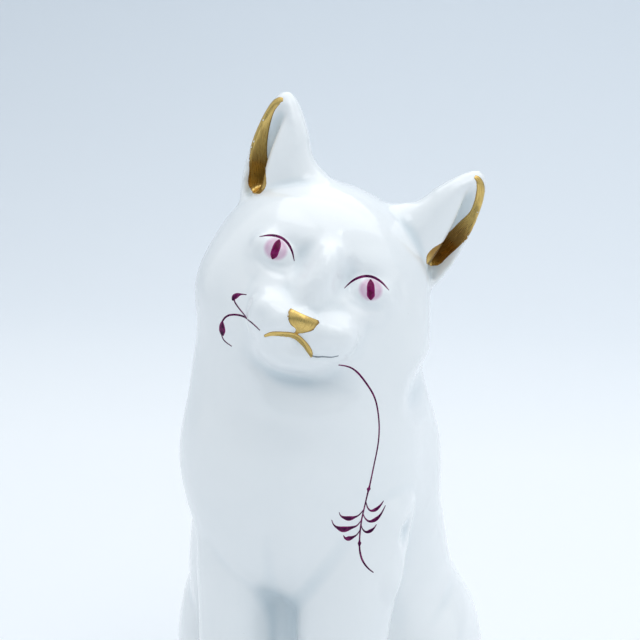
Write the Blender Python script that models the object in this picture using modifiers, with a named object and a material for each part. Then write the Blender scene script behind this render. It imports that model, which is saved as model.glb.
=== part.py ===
"""Seated porcelain cat, slip-cast in parts that are luted together before firing.

The whole cat is modelled first, as a maker's master model, and then sawn into the castings
that the moulds give: torso, head, two ears, two forelegs, a tail and a base plate.  The
thin films of gold and enamel that are fired onto the glaze lie on the finished surface.

The cat faces -Y, its own left side is at +X, and it sits on the plane Z = 0.
"""

import math

import bmesh
import bpy
from mathutils import Matrix, Vector
from mathutils.bvhtree import BVHTree

MM = 0.001

# Driving dimensions of the casting, in millimetres.
WALL = 3.8
KERF = 0.35
FLOOR = 7.0
BASE_CENTRE = Vector((-2.0, 22.0, 0.0))
OPENING_RADII = (20.0, 17.0)
PLATE_RADII = (24.0, 21.0)
PLATE_RECESS = 1.0
PLATE_THICKNESS = 3.0
VENT_RADIUS = 5.5

# The head's place and turn on the neck, in millimetres and degrees.
HEAD_CENTRE = Vector((-0.2, -6.0, 145.0))
HEAD_YAW = 10.0
HEAD_PITCH = -5.0
HEAD_ROLL = 22.5
NECK_JOINT = -29.0

# How each pass of the master model is fused: its voxel in millimetres, and how often the
# sponge goes over it, which sets how wide the hollows between the masses fill.
ROUGH_PASS = (2.0, 150)
LIMB_PASS = (1.3, 10)
DETAIL_PASS = (1.1, 3)
TAIL_PASS = (1.0, 6)
HOLLOW_PASS = (2.6, 12)
MODEL_SHARE = 0.05
HOLLOW_SHARE = 0.04
TAIL_SHARE = 0.045

# Masses are ellipsoids: centre and radii.  Limbs are chains of balls: x, y, z, radius.
TRUNK = {
    "chest": ((-4.5, -8, 98), (35, 30, 35)),
    "neck": ((-2, -4, 122), (34, 31, 28)),
    "breast": ((-4, -11, 81), (31, 24, 26)),
    "nape": ((-1, 5, 116), (30, 25, 27)),
    "back": ((-2, 13, 92), (37, 32, 40)),
    "loin": ((-4, 21, 62), (40, 36, 42)),
    "rump": ((-2, 30, 34), (38, 33, 38)),
    "belly": ((-2, 16, 36), (27, 26, 38)),
    "seat": ((-1, 26, 9), (41, 34, 17)),
    "haunch_left": ((27, 24, 28), (20, 31, 29)),
    "haunch_right": ((-28, 24, 32), (19, 31, 31)),
}
SKULL = {
    "cranium": ((0.7, 3, 4.5), (32, 30, 26.5)),
    "cheek_left": ((20, -3, -7), (18, 19, 16)),
    "cheek_right": ((-16.5, -3, -7), (17, 19, 16)),
    "forehead": ((0, -12, 10), (22, 14, 16)),
    "throat": ((0, -4, -17), (23, 20, 13)),
    "face": ((0, -17, -7), (19, 14, 14)),
    "snout": ((0.5, -24, -8), (14.5, 11.5, 10)),
    "jaw_left": ((11, -17, -12), (11, 10, 8)),
    "jaw_right": ((-10, -17, -15), (11, 10, 8)),
}
FORELEG_LEFT = [(13, -14, 84, 16), (10.5, -20, 56, 13), (9.5, -24, 22, 11), (9.5, -26, 9, 10.5)]
FORELEG_RIGHT = [(-19, -13, 84, 14), (-20, -17, 56, 11), (-20.5, -20, 22, 10), (-20.5, -22, 9, 9.8)]
HIND_FOOT_LEFT = [(34, 16, 9, 9), (34, -2, 7.5, 7.5), (34, -12, 6.5, 7)]
HIND_FOOT_RIGHT = [(-37, 16, 9, 9), (-37, -2, 7.5, 7.5), (-37, -12, 6.5, 7)]
PAWS = {
    "fore_left": ((9.5, -33, 6.5), (10, 12, 7.5)),
    "fore_right": ((-20.5, -29, 6.5), (9.6, 12, 7.5)),
    "hind_left": ((34, -17, 5.5), (9, 11, 6.5)),
    "hind_right": ((-37, -17, 5.5), (9, 11, 6.5)),
}
MUZZLE = {
    "pad_left": ((7, -27, -8), (8, 7.5, 7)),
    "pad_right": ((-6.5, -27, -9), (8, 7.5, 7)),
    "chin": ((1, -24.5, -16), (11, 8, 6)),
    "bridge": ((-0.3, -24, 2), (5.5, 8, 13)),
    "eye_left": ((13, -19.5, 6.5), (7.5, 5.4, 5)),
    "eye_right": ((-13, -19.5, 6.8), (7.5, 5.4, 5)),
}
NOSE = {
    "tip": ((-0.5, -32.2, -6.2), (4.6, 2.6, 2.8)),
}
TAIL = [(4, 58, 14, 8), (20, 60, 10, 9), (38, 53, 8.5, 8.4), (48, 36, 8, 8), (49, 14, 7.5, 7.6),
        (46, -4, 7, 7), (43, -18, 6.5, 6.4), (38, -29, 5.8, 5.6)]

# Ears: where they stand on the skull, their turn, the two eggs whose difference is the
# cupped shell, and the egg inside it.  The taper narrows an egg towards its tip.
EAR_ROOTS = {1: (22.0, 0.0, 20.0), -1: (18.6, 0.0, 20.0)}
EAR_LEAN = 17.0
EAR_TWIST = 12.0
EAR_TAPER = 0.3
EAR_SHELL = ((0.6, 1, 5), (9.8, 7.5, 22.3))
EAR_CUP = ((2.0, -5, 6.5), (7.4, 8.6, 19.8))
EAR_PLANE = ((-2.6, -0.6, 3), (7.2, 4.6, 19.5))
EAR_JOINT = 8.5

# The saw cuts: boxes by their corners, in the world's or in the ear's or head's own axes.
EAR_BLOCK = ((-20, -16, EAR_JOINT), (20, 16, 45))
HEAD_BLOCK = ((-70, -70, NECK_JOINT), (70, 70, 80))
GAP_CENTRE = -6.0
FORELEG_BACK = -10.0
FORELEG_TOP = 62.0
FORELEG_LEFT_BLOCK = ((GAP_CENTRE, -70, -1), (22.5, FORELEG_BACK, FORELEG_TOP))
FORELEG_RIGHT_BLOCK = ((-30.0, -70, -1), (GAP_CENTRE, FORELEG_BACK, FORELEG_TOP))

# The fired-on films lie this far off the glaze and are this thick, in millimetres.
FILM_GAP = 0.5
FILM_THICKNESS = 0.3
WIDE_FILM = (-1.0, -0.5, 0.0, 0.5, 1.0)
NARROW_FILM = (-1.0, 0.0, 1.0)
NARROW_LIMIT = 1.0
TUCK = 0.06
REACH = 90.0
MERGE = 0.000003

# Where the films lie.  On the head u runs to the cat's left and v to the crown, from the
# middle of the head; on the chest they are x and z; on an ear they are the ear's own axes.
# A stroke's stations are u, v and half width.
LIDS = {"left": (11.9, 6.7, 18.8, 5.75, 3.3), "right": (-13.3, 7.4, -11.4, 5.4, 3.0)}
LID_THICKNESS = 0.5
PUPILS = {"left": (12.9, 6.7, 24.0), "right": (-13.5, 7.0, 2.0)}
PUPIL_HEIGHT = 2.1
PUPIL_HALF_WIDTH = 0.8
NOSE_GILDING = [(-0.6, -4.7, 3.8), (-0.6, -5.6, 4.0), (-0.5, -6.7, 3.5), (-0.4, -7.7, 2.2)]
MOUTH_GILDING = [(-7.4, -13.2, 0.3), (-4.9, -11.5, 0.6), (-1.1, -10.7, 0.7), (1.9, -11.4, 0.8),
                 (5.0, -13.6, 0.4)]
CHEEK_SPRIG = [
    [(-9.6, -13, 0.25), (-13, -11.6, 0.35), (-16, -11.6, 0.4), (-19.5, -13, 0.4),
     (-21.2, -16.5, 0.4), (-20, -20, 0.3), (-16.5, -20.6, 0.2)],
    [(-15.6, -11.7, 0.3), (-19, -9.6, 0.35), (-20.2, -7, 0.35), (-17.4, -6, 0.25)],
    [(-20.9, -15.4, 0.4), (-20.2, -17.6, 1.2), (-19.6, -19.4, 0.4)],
    [(-20.2, -7.8, 0.3), (-19.3, -7.1, 0.8), (-18.6, -6.4, 0.3)],
]
CHEST_SPRIG = [
    [(11, 130, 0.25), (14.3, 128.5, 0.35), (17, 125, 0.4), (19.5, 120, 0.4), (20.5, 114, 0.4),
     (20.5, 108, 0.4), (19.1, 101, 0.4), (17.8, 96.5, 0.6), (16.8, 92.5, 0.5), (16.1, 87, 0.45),
     (16.1, 82.5, 0.6), (16.3, 79.8, 0.4), (17.7, 77.2, 0.35), (19.5, 74.5, 0.25)],
    [(16.1, 89.3, 0.3), (14.0, 89.8, 0.7), (12.4, 89.4, 0.3)],
    [(15.9, 86.2, 0.3), (13.2, 86.6, 0.9), (11.0, 87.4, 0.4), (9.6, 89.6, 0.25)],
    [(15.8, 83.6, 0.3), (13.9, 84.0, 0.6), (12.5, 83.6, 0.3)],
    [(16.4, 89.6, 0.3), (19.4, 90.6, 0.6), (21.0, 91.6, 0.3)],
    [(16.1, 87.2, 0.3), (19.6, 88.0, 0.6), (21.8, 91.0, 0.25)],
    [(16.1, 84.8, 0.3), (18.6, 85.4, 0.6), (20.2, 86.6, 0.25)],
]
EAR_GILDING = [(6.2, 4.0, 1.2), (6.6, 6.5, 1.4), (6.7, 9.5, 1.4), (6.3, 13.5, 1.3), (5.3, 17.5, 1.1),
               (3.6, 20.6, 0.8), (2.4, 22.0, 0.6)]

# Colour, roughness and metallic of each finish, by the start of the piece's name.
WHITE_GLAZE = ((0.86, 0.90, 0.92), 0.12, 0.0)
BISCUIT = ((0.80, 0.78, 0.74), 0.8, 0.0)
GOLD = ((0.62, 0.42, 0.12), 0.3, 1.0)
PURPLE = ((0.16, 0.01, 0.12), 0.2, 0.0)
FINISHES = {
    "torso": WHITE_GLAZE, "head": WHITE_GLAZE, "ear_left": WHITE_GLAZE,
    "ear_right": WHITE_GLAZE, "foreleg": WHITE_GLAZE, "tail": WHITE_GLAZE,
    "base_plate": BISCUIT, "nose_gilding": GOLD, "mouth_gilding": GOLD,
    "ear_gilding": GOLD, "lid_line": PURPLE, "pupil": PURPLE, "cheek_sprig": PURPLE,
    "chest_sprig": PURPLE,
}


def head_frame():
    """The head's own axes: x to the cat's left, -y along its gaze, z up through the crown."""
    yaw = Matrix.Rotation(math.radians(HEAD_YAW), 4, "Z")
    pitch = Matrix.Rotation(math.radians(HEAD_PITCH), 4, "X")
    roll = Matrix.Rotation(math.radians(HEAD_ROLL), 4, "Y")
    return Matrix.Translation(HEAD_CENTRE) @ yaw @ pitch @ roll


def ear_frame(side):
    """An ear's own axes: z from root to tip, -y out of its cup.  side is 1 for the left ear."""
    x, y, z = EAR_ROOTS[side]
    lean = Matrix.Rotation(math.radians(side * EAR_LEAN), 4, "Y")
    twist = Matrix.Rotation(math.radians(side * EAR_TWIST), 4, "Z")
    return head_frame() @ Matrix.Translation((side * x, y, z)) @ lean @ twist


# ---------------------------------------------------------------- collections and objects


def new_collection(name):
    made = bpy.data.collections.new(name)
    bpy.context.scene.collection.children.link(made)
    return made


def add_object(name, mesh, collection):
    made = bpy.data.objects.new(name, mesh)
    collection.objects.link(made)
    return made


def helper(name, mesh, collection):
    """A master model, cutter or guide, which is not part of the figurine."""
    made = add_object(name, mesh, collection)
    made.hide_render = True
    made.display_type = "WIRE"
    return made


def mesh_from(bm, name):
    """The mesh of a bmesh that was modelled in millimetres."""
    bmesh.ops.scale(bm, vec=(MM, MM, MM), verts=bm.verts)
    mesh = bpy.data.meshes.new(name)
    bm.to_mesh(mesh)
    bm.free()
    return mesh


def bake(obj):
    """Applies an object's modifiers to its mesh."""
    bpy.context.view_layer.update()
    graph = bpy.context.evaluated_depsgraph_get()
    baked = bpy.data.meshes.new_from_object(obj.evaluated_get(graph))
    obj.modifiers.clear()
    obj.data = baked
    return obj


# ---------------------------------------------------------------- clay: masses and limbs


def add_ellipsoid(bm, centre, radii, frame=Matrix(), grow=0.0, detail=3):
    sides = [r + grow for r in radii]
    place = frame @ Matrix.Translation(Vector(centre)) @ Matrix.Diagonal((*sides, 1))
    bmesh.ops.create_icosphere(bm, subdivisions=detail, radius=1, matrix=place)


def add_egg(bm, centre, radii, frame, taper):
    """An ellipsoid that narrows towards its top."""
    ball = bmesh.ops.create_icosphere(bm, subdivisions=4, radius=1)["verts"]
    for vert in ball:
        vert.co.x *= 1 - taper * vert.co.z
        vert.co.y *= 1 - taper * vert.co.z
    place = frame @ Matrix.Translation(Vector(centre)) @ Matrix.Diagonal((*radii, 1))
    bmesh.ops.transform(bm, matrix=place, verts=ball)


def add_masses(bm, masses, frame=Matrix(), grow=0.0):
    for centre, radii in masses.values():
        add_ellipsoid(bm, centre, radii, frame, grow)


def add_limb(bm, stations, grow=0.0):
    """Balls at the stations, joined by tapered cones."""
    for (ax, ay, az, ar), (bx, by, bz, br) in zip(stations, stations[1:]):
        start, end = Vector((ax, ay, az)), Vector((bx, by, bz))
        along = end - start
        turn = along.to_track_quat("Z", "Y").to_matrix().to_4x4()
        place = Matrix.Translation((start + end) / 2) @ turn
        bmesh.ops.create_cone(bm, cap_ends=True, segments=24, radius1=ar + grow,
                              radius2=br + grow, depth=along.length, matrix=place)
    for x, y, z, radius in stations:
        add_ellipsoid(bm, (x, y, z), (radius, radius, radius), grow=grow)


def smooth_stations(stations, steps=4):
    """More stations on a Catmull-Rom curve through the given ones."""
    ends = [stations[0], *stations, stations[-1]]
    made = []
    for a, b, c, d in zip(ends, ends[1:], ends[2:], ends[3:]):
        for step in range(steps):
            t = step / steps
            made.append(tuple(
                0.5 * (2 * q + (r - p) * t + (2 * p - 5 * q + 4 * r - s) * t ** 2
                       + (3 * q - p - 3 * r + s) * t ** 3)
                for p, q, r, s in zip(a, b, c, d)))
    return [*made, stations[-1]]


def fuse(name, bm, settings, collection):
    """Fuses the shapes in a bmesh into one skin and sponges it smooth."""
    voxel, passes = settings
    obj = helper(name, mesh_from(bm, name), collection)
    remesh = obj.modifiers.new("fuse", "REMESH")
    remesh.mode = "VOXEL"
    remesh.voxel_size = voxel * MM
    sponge = obj.modifiers.new("sponge", "SMOOTH")
    sponge.factor = 0.5
    sponge.iterations = passes
    return bake(obj)


def add_skin(bm, obj):
    """Puts an object's mesh into a bmesh that is modelled in millimetres."""
    known = len(bm.verts)
    bm.from_mesh(obj.data)
    bm.verts.ensure_lookup_table()
    bmesh.ops.scale(bm, vec=(1 / MM, 1 / MM, 1 / MM), verts=bm.verts[known:])


# ---------------------------------------------------------------- cutting


def box_between(name, low, high, collection, frame=Matrix()):
    """A cutter: the box from one corner to the other, in a frame, in millimetres."""
    low, high = Vector(low), Vector(high)
    bm = bmesh.new()
    place = frame @ Matrix.Translation((low + high) / 2) @ Matrix.Diagonal((*(high - low), 1))
    bmesh.ops.create_cube(bm, size=1, matrix=place)
    return helper(name, mesh_from(bm, name), collection)


def elliptic_disc(name, centre, radii, low, high, collection):
    bm = bmesh.new()
    middle = Vector((centre.x, centre.y, (low + high) / 2))
    place = Matrix.Translation(middle) @ Matrix.Diagonal((*radii, high - low, 1))
    bmesh.ops.create_cone(bm, cap_ends=True, segments=48, radius1=1, radius2=1, depth=1,
                          matrix=place)
    return helper(name, mesh_from(bm, name), collection)


def cut(obj, tool, operation="DIFFERENCE"):
    saw = obj.modifiers.new("saw", "BOOLEAN")
    saw.operation = operation
    saw.object = tool
    return bake(obj)


def thin_out(obj, share):
    """Keeps this share of an object's faces."""
    decimate = obj.modifiers.new("thin", "DECIMATE")
    decimate.ratio = share
    return bake(obj)


def keep_largest_island(obj):
    """Drops the crumbs that a saw cut can leave beside a casting."""
    bm = bmesh.new()
    bm.from_mesh(obj.data)
    islands, seen = [], set()
    for seed in bm.verts:
        if seed in seen:
            continue
        island, front = {seed}, [seed]
        while front:
            for edge in front.pop().link_edges:
                for vert in edge.verts:
                    if vert not in island:
                        island.add(vert)
                        front.append(vert)
        seen |= island
        islands.append(island)
    islands.sort(key=len)
    for island in islands[:-1]:
        bmesh.ops.delete(bm, geom=list(island), context="VERTS")
    bm.to_mesh(obj.data)
    bm.free()
    return obj


# ---------------------------------------------------------------- the master model


def ear_cup_mesh(side, collection):
    """One ear: a tall leaf-shaped shell, open to the front and side."""
    frame = ear_frame(side)
    bm = bmesh.new()
    (x, y, z), radii = EAR_SHELL
    add_egg(bm, (side * x, y, z), radii, frame, EAR_TAPER)
    shell = helper("ear_shell", mesh_from(bm, "ear_shell"), collection)
    bm = bmesh.new()
    (x, y, z), radii = EAR_CUP
    add_egg(bm, (side * x, y, z), radii, frame, EAR_TAPER)
    cup = helper("ear_cup", mesh_from(bm, "ear_cup"), collection)
    return cut(shell, cup)


def master_model(collection):
    """The cat in one piece, flat underneath."""
    head = head_frame()
    bm = bmesh.new()
    add_masses(bm, TRUNK)
    add_masses(bm, SKULL, head)
    rough = fuse("rough_model", bm, ROUGH_PASS, collection)

    bm = bmesh.new()
    add_skin(bm, rough)
    add_masses(bm, MUZZLE, head)
    add_masses(bm, PAWS)
    for stations in (FORELEG_LEFT, FORELEG_RIGHT, HIND_FOOT_LEFT, HIND_FOOT_RIGHT):
        add_limb(bm, stations)
    limbed = fuse("limbed_model", bm, LIMB_PASS, collection)

    bm = bmesh.new()
    add_skin(bm, limbed)
    add_masses(bm, NOSE, head)
    for side in (1, -1):
        add_skin(bm, ear_cup_mesh(side, collection))
        (x, y, z), radii = EAR_PLANE
        add_egg(bm, (side * x, y, z), radii, ear_frame(side), EAR_TAPER)
    model = fuse("master_model", bm, DETAIL_PASS, collection)
    thin_out(model, MODEL_SHARE)
    return cut(model, box_between("bench", (-200, -200, -50), (200, 200, 0), collection))


def hollow_model(collection):
    """What drains out of the moulds: the inside of the torso and head as one core."""
    bm = bmesh.new()
    add_masses(bm, TRUNK, grow=-WALL)
    add_masses(bm, SKULL, head_frame(), grow=-WALL)
    hollow = fuse("hollow", bm, HOLLOW_PASS, collection)
    thin_out(hollow, HOLLOW_SHARE)
    return cut(hollow, box_between("floor", (-200, -200, -50), (200, 200, FLOOR), collection))


# ---------------------------------------------------------------- sawing into castings


def saw_off(model, name, block, parts, tools, frame=Matrix()):
    """Takes the casting inside a block off the model, and the saw's kerf off what is left."""
    low, high = block
    piece = add_object(name, model.data.copy(), parts)
    cut(piece, box_between(name + "_block", low, high, tools, frame), "INTERSECT")
    margin = Vector((KERF, KERF, KERF))
    kerf = box_between(name + "_kerf", Vector(low) - margin, Vector(high) + margin, tools, frame)
    cut(model, kerf)
    return keep_largest_island(piece)


def saw_castings(model, hollow, parts, tools):
    """Ears, forelegs and head come off; the torso is what remains."""
    for side, name in ((1, "left"), (-1, "right")):
        saw_off(model, "ear_" + name, EAR_BLOCK, parts, tools, ear_frame(side))
    saw_off(model, "foreleg_left", FORELEG_LEFT_BLOCK, parts, tools)
    saw_off(model, "foreleg_right", FORELEG_RIGHT_BLOCK, parts, tools)
    head = saw_off(model, "head_casting", HEAD_BLOCK, parts, tools, head_frame())
    torso = add_object("torso_casting", model.data.copy(), parts)
    cut(head, hollow)
    cut(torso, hollow)
    keep_largest_island(head)
    return keep_largest_island(torso)


def open_the_base(torso, parts, tools):
    """The drain opening under the torso, its rebate, and the vented plate that closes it."""
    cut(torso, elliptic_disc("drain", BASE_CENTRE, OPENING_RADII, -1, FLOOR + 3, tools))
    seat = PLATE_RECESS + PLATE_THICKNESS + KERF
    wide = [r + KERF for r in PLATE_RADII]
    cut(torso, elliptic_disc("rebate", BASE_CENTRE, wide, -1, seat, tools))
    top = PLATE_RECESS + PLATE_THICKNESS
    plate = elliptic_disc("base_plate", BASE_CENTRE, PLATE_RADII, PLATE_RECESS, top, parts)
    plate.hide_render = False
    plate.display_type = "TEXTURED"
    radii = (VENT_RADIUS, VENT_RADIUS)
    cut(plate, elliptic_disc("vent", BASE_CENTRE, radii, -1, top + 1, tools))


def add_tail(model, parts, tools):
    """The tail, rolled as a tapered coil and trimmed to lie against the haunch."""
    bm = bmesh.new()
    add_limb(bm, smooth_stations(TAIL))
    tail = fuse("tail_coil", bm, TAIL_PASS, tools)
    thin_out(tail, TAIL_SHARE)
    cut(tail, box_between("tail_bench", (-200, -200, -50), (200, 200, 0), tools))
    grown = helper("tail_clearance", model.data.copy(), tools)
    swell = grown.modifiers.new("swell", "DISPLACE")
    swell.strength = KERF * MM
    swell.mid_level = 0
    bake(grown)
    cut(tail, grown)
    piece = add_object("tail", tail.data.copy(), parts)
    return keep_largest_island(piece)


# ---------------------------------------------------------------- fired-on films


def surface_of(obj):
    """The clay's surface, in millimetres, to lay films on."""
    bm = bmesh.new()
    bm.from_mesh(obj.data)
    bmesh.ops.scale(bm, vec=(1 / MM, 1 / MM, 1 / MM), verts=bm.verts)
    surface = BVHTree.FromBMesh(bm)
    bm.free()
    return surface


def touch(surface, frame, u, v):
    """Where a line along a frame's y axis through (u, v) meets the surface, and its normal."""
    start = frame @ Vector((u, -REACH, v))
    point, normal, _, _ = surface.ray_cast(start, frame.to_3x3() @ Vector((0, 1, 0)))
    return point, normal


def film_section(bm, surface, frame, centre, across, shares, tuck):
    """One ring of a film: its underside one way, its top side back."""
    under, top = [], []
    for share in shares:
        u, v = centre + across * share
        point, normal = touch(surface, frame, u, v)
        crown = (FILM_THICKNESS - 2 * tuck) * (1 - 0.5 * share * share)
        under.append(bm.verts.new(point + normal * (FILM_GAP + tuck)))
        top.append(bm.verts.new(point + normal * (FILM_GAP + tuck + crown)))
    return under + top[::-1]


def add_film(bm, surface, frame, stations, tuck):
    """A closed film along stations of u, v and half width, lying on the surface."""
    points = [Vector((u, v)) for u, v, _ in stations]
    widest = max(width for _, _, width in stations)
    shares = NARROW_FILM if widest < NARROW_LIMIT else WIDE_FILM
    rings = []
    for index, (_, _, width) in enumerate(stations):
        before, after = points[max(index - 1, 0)], points[min(index + 1, len(points) - 1)]
        along = (after - before).normalized()
        across = Vector((-along.y, along.x)) * width
        rings.append(film_section(bm, surface, frame, points[index], across, shares, tuck))
    for ring, following in zip(rings, rings[1:]):
        count = len(ring)
        for k in range(count):
            bm.faces.new((ring[k], ring[(k + 1) % count],
                          following[(k + 1) % count], following[k]))
    bm.faces.new(rings[0][::-1])
    bm.faces.new(rings[-1])


def film(name, surface, frame, strokes, parts, tools):
    """One film node.  Later strokes are thinner, so that they end inside the first one."""
    made = None
    for number, stroke in enumerate(strokes):
        bm = bmesh.new()
        add_film(bm, surface, frame, stroke, TUCK * bool(number) + 0.004 * number)
        bmesh.ops.recalc_face_normals(bm, faces=bm.faces)
        mesh = mesh_from(bm, name)
        if made is None:
            made = add_object(name, mesh, parts)
        else:
            cut(made, helper(f"{name}_{number}", mesh, tools), "UNION")
    return made


def arc(centre, half_width, height, tilt, thickness, steps=8):
    """A lid line: an arch over an eye that thins out at both ends."""
    made = []
    turn = Matrix.Rotation(math.radians(tilt), 2)
    for step in range(steps + 1):
        t = -1 + 2 * step / steps
        u, v = turn @ Vector((half_width * t, height * (1 - t * t)))
        width = thickness * (1 - 0.75 * abs(t) ** 3)
        made.append((centre[0] + u, centre[1] + v, width))
    return made


def slit(centre, height, half_width, tilt, steps=6):
    """A slit pupil: a spindle standing on its end."""
    made = []
    turn = Matrix.Rotation(math.radians(tilt), 2)
    for step in range(steps + 1):
        t = -1 + 2 * step / steps
        u, v = turn @ Vector((0, height * t))
        made.append((centre[0] + u, centre[1] + v, half_width * (1 - 0.8 * t * t)))
    return made


def paint_face(surface, parts, tools):
    head = head_frame()
    film("nose_gilding", surface, head, [smooth_stations(NOSE_GILDING, 3)], parts, tools)
    film("mouth_gilding", surface, head, [smooth_stations(MOUTH_GILDING, 3)], parts, tools)
    for name, (u, v, slant, half_width, height) in LIDS.items():
        lid = arc((u, v), half_width, height, slant, LID_THICKNESS)
        film("lid_line_" + name, surface, head, [lid], parts, tools)
    for name, (u, v, tilt) in PUPILS.items():
        pupil = slit((u, v), PUPIL_HEIGHT, PUPIL_HALF_WIDTH, tilt)
        film("pupil_" + name, surface, head, [pupil], parts, tools)
    strokes = [smooth_stations(stroke, 3) for stroke in CHEEK_SPRIG]
    film("cheek_sprig", surface, head, strokes, parts, tools)


def paint_chest(surface, parts, tools):
    strokes = [smooth_stations(stroke, 2) for stroke in CHEST_SPRIG]
    film("chest_sprig", surface, Matrix(), strokes, parts, tools)


def gild_ears(surface, parts, tools):
    for side, name in ((1, "left"), (-1, "right")):
        band = [(side * u, v, width) for u, v, width in EAR_GILDING]
        frame = ear_frame(side)
        film("ear_gilding_" + name, surface, frame, [smooth_stations(band, 4)], parts, tools)


# ---------------------------------------------------------------- materials and assembly


def ceramic(name, colour, roughness, metallic=0.0):
    made = bpy.data.materials.new(name)
    made.use_nodes = True
    shader = made.node_tree.nodes["Principled BSDF"]
    shader.inputs["Base Color"].default_value = (*colour, 1)
    shader.inputs["Roughness"].default_value = roughness
    shader.inputs["Metallic"].default_value = metallic
    return made


def finish_piece(piece):
    for start, (colour, roughness, metallic) in FINISHES.items():
        if piece.name.startswith(start):
            piece.data.materials.clear()
            piece.data.materials.append(
                ceramic(piece.name + "_finish", colour, roughness, metallic))
    bm = bmesh.new()
    bm.from_mesh(piece.data)
    bmesh.ops.remove_doubles(bm, verts=bm.verts, dist=MERGE)
    bmesh.ops.dissolve_degenerate(bm, edges=bm.edges, dist=MERGE)
    bmesh.ops.triangulate(bm, faces=[f for f in bm.faces if len(f.verts) > 4])
    bmesh.ops.recalc_face_normals(bm, faces=bm.faces)
    bm.to_mesh(piece.data)
    bm.free()
    piece.data.set_sharp_from_angle(angle=math.radians(40))


def centre_footprint(parts):
    """Moves the figurine so that its box is centred on the axis it stands on."""
    corners = [vert.co for piece in parts.objects for vert in piece.data.vertices]
    middle_x = (min(c.x for c in corners) + max(c.x for c in corners)) / 2
    middle_y = (min(c.y for c in corners) + max(c.y for c in corners)) / 2
    shift = Matrix.Translation((-middle_x, -middle_y, 0))
    for obj in bpy.data.objects:
        obj.data.transform(shift)
    return Vector((middle_x, middle_y, 0))


def main():
    for old in list(bpy.data.objects):
        bpy.data.objects.remove(old)
    tools = new_collection("tools")
    parts = new_collection("ceramic_cat")
    model = master_model(tools)
    surface = surface_of(model)
    hollow = hollow_model(tools)
    add_tail(model, parts, tools)
    torso = saw_castings(model, hollow, parts, tools)
    open_the_base(torso, parts, tools)
    paint_face(surface, parts, tools)
    paint_chest(surface, parts, tools)
    gild_ears(surface, parts, tools)
    centre_footprint(parts)
    for piece in parts.objects:
        finish_piece(piece)


if __name__ == "__main__":
    main()
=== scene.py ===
"""Seated porcelain cat: glazed castings, gilded ears and painted sprigs, in a plain studio.

The cat faces -Y, its own left side is at +X, and it sits on the plane Z = 0.  The clay is
modelled in millimetres and set down on the frame's base plate, in metres, when it is done.
"""

import math

import bmesh
import bpy
import numpy as np
from bpy.props import FloatProperty, FloatVectorProperty, IntProperty, PointerProperty
from mathutils import Matrix, Vector
from mathutils.bvhtree import BVHTree


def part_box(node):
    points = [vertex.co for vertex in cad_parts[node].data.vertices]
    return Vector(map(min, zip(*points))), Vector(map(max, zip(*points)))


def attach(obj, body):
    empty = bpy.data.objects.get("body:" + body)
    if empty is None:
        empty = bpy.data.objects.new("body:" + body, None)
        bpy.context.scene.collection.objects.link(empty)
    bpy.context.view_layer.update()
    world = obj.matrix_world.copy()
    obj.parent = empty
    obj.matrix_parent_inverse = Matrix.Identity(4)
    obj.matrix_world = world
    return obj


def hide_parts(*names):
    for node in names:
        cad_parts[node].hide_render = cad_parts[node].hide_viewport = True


bl_info = {
    "name": "Porcelain cat",
    "version": (1, 0, 0),
    "blender": (4, 5, 0),
    "location": "View3D > Sidebar > Porcelain cat",
    "description": "Models, glazes and paints a seated porcelain cat",
    "category": "Add Mesh",
}

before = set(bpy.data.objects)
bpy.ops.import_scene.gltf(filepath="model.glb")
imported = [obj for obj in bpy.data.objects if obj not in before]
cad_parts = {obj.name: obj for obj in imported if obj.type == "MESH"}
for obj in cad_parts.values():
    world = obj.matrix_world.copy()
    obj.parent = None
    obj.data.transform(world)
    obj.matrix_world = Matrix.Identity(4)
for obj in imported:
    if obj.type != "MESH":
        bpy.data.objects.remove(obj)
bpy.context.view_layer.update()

MM = 0.001
BASE_CENTRE = Vector((-2.0, 22.0, 0.0))

# The head's place and turn on the neck, in millimetres and degrees.
HEAD_CENTRE = Vector((-0.2, -6.0, 145.0))
HEAD_YAW = 10.0
HEAD_PITCH = -5.0
HEAD_ROLL = 22.5
NECK_JOINT = -29.0

# Masses are ellipsoids: centre and radii.  Limbs are chains of balls: x, y, z, radius.
TRUNK = {
    "chest": ((-4.5, -8, 98), (35, 30, 35)),
    "neck": ((-2, -4, 122), (34, 31, 28)),
    "breast": ((-4, -11, 81), (31, 24, 26)),
    "nape": ((-1, 5, 116), (30, 25, 27)),
    "back": ((-2, 13, 92), (37, 32, 40)),
    "loin": ((-4, 21, 62), (40, 36, 42)),
    "rump": ((-2, 30, 34), (38, 33, 38)),
    "belly": ((-2, 16, 36), (27, 26, 38)),
    "seat": ((-1, 26, 9), (41, 34, 17)),
    "haunch_left": ((27, 24, 28), (20, 31, 29)),
    "haunch_right": ((-29.5, 24, 31), (19, 31, 31)),
}
SKULL = {
    "cranium": ((0.7, 3, 4.5), (32, 30, 26.5)),
    "cheek_left": ((20, -3, -7), (18, 19, 16)),
    "cheek_right": ((-16.5, -3, -7), (17, 19, 16)),
    "forehead": ((0, -12, 10), (22, 14, 16)),
    "throat": ((0, -4, -17), (23, 20, 13)),
    "face": ((0, -17, -7), (19, 14, 14)),
    "snout": ((0.5, -24, -8), (14.5, 11.5, 10)),
    "jaw_left": ((11, -17, -12), (11, 10, 8)),
    "jaw_right": ((-10, -17, -15), (11, 10, 8)),
}
FORELEG_LEFT = [(13, -14, 84, 16), (10.5, -20, 56, 13), (9.5, -24, 22, 11), (9.5, -26, 9, 10.5)]
FORELEG_RIGHT = [(-19, -13, 84, 14), (-20, -17, 56, 11), (-20.5, -20, 22, 10), (-20.5, -22, 9, 9.8)]
HIND_FOOT_LEFT = [(34, 16, 9, 9), (34, -2, 7.5, 7.5), (34, -12, 6.5, 7)]
HIND_FOOT_RIGHT = [(-37, 16, 9, 9), (-37, -2, 7.5, 7.5), (-37, -12, 6.5, 7)]
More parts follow.
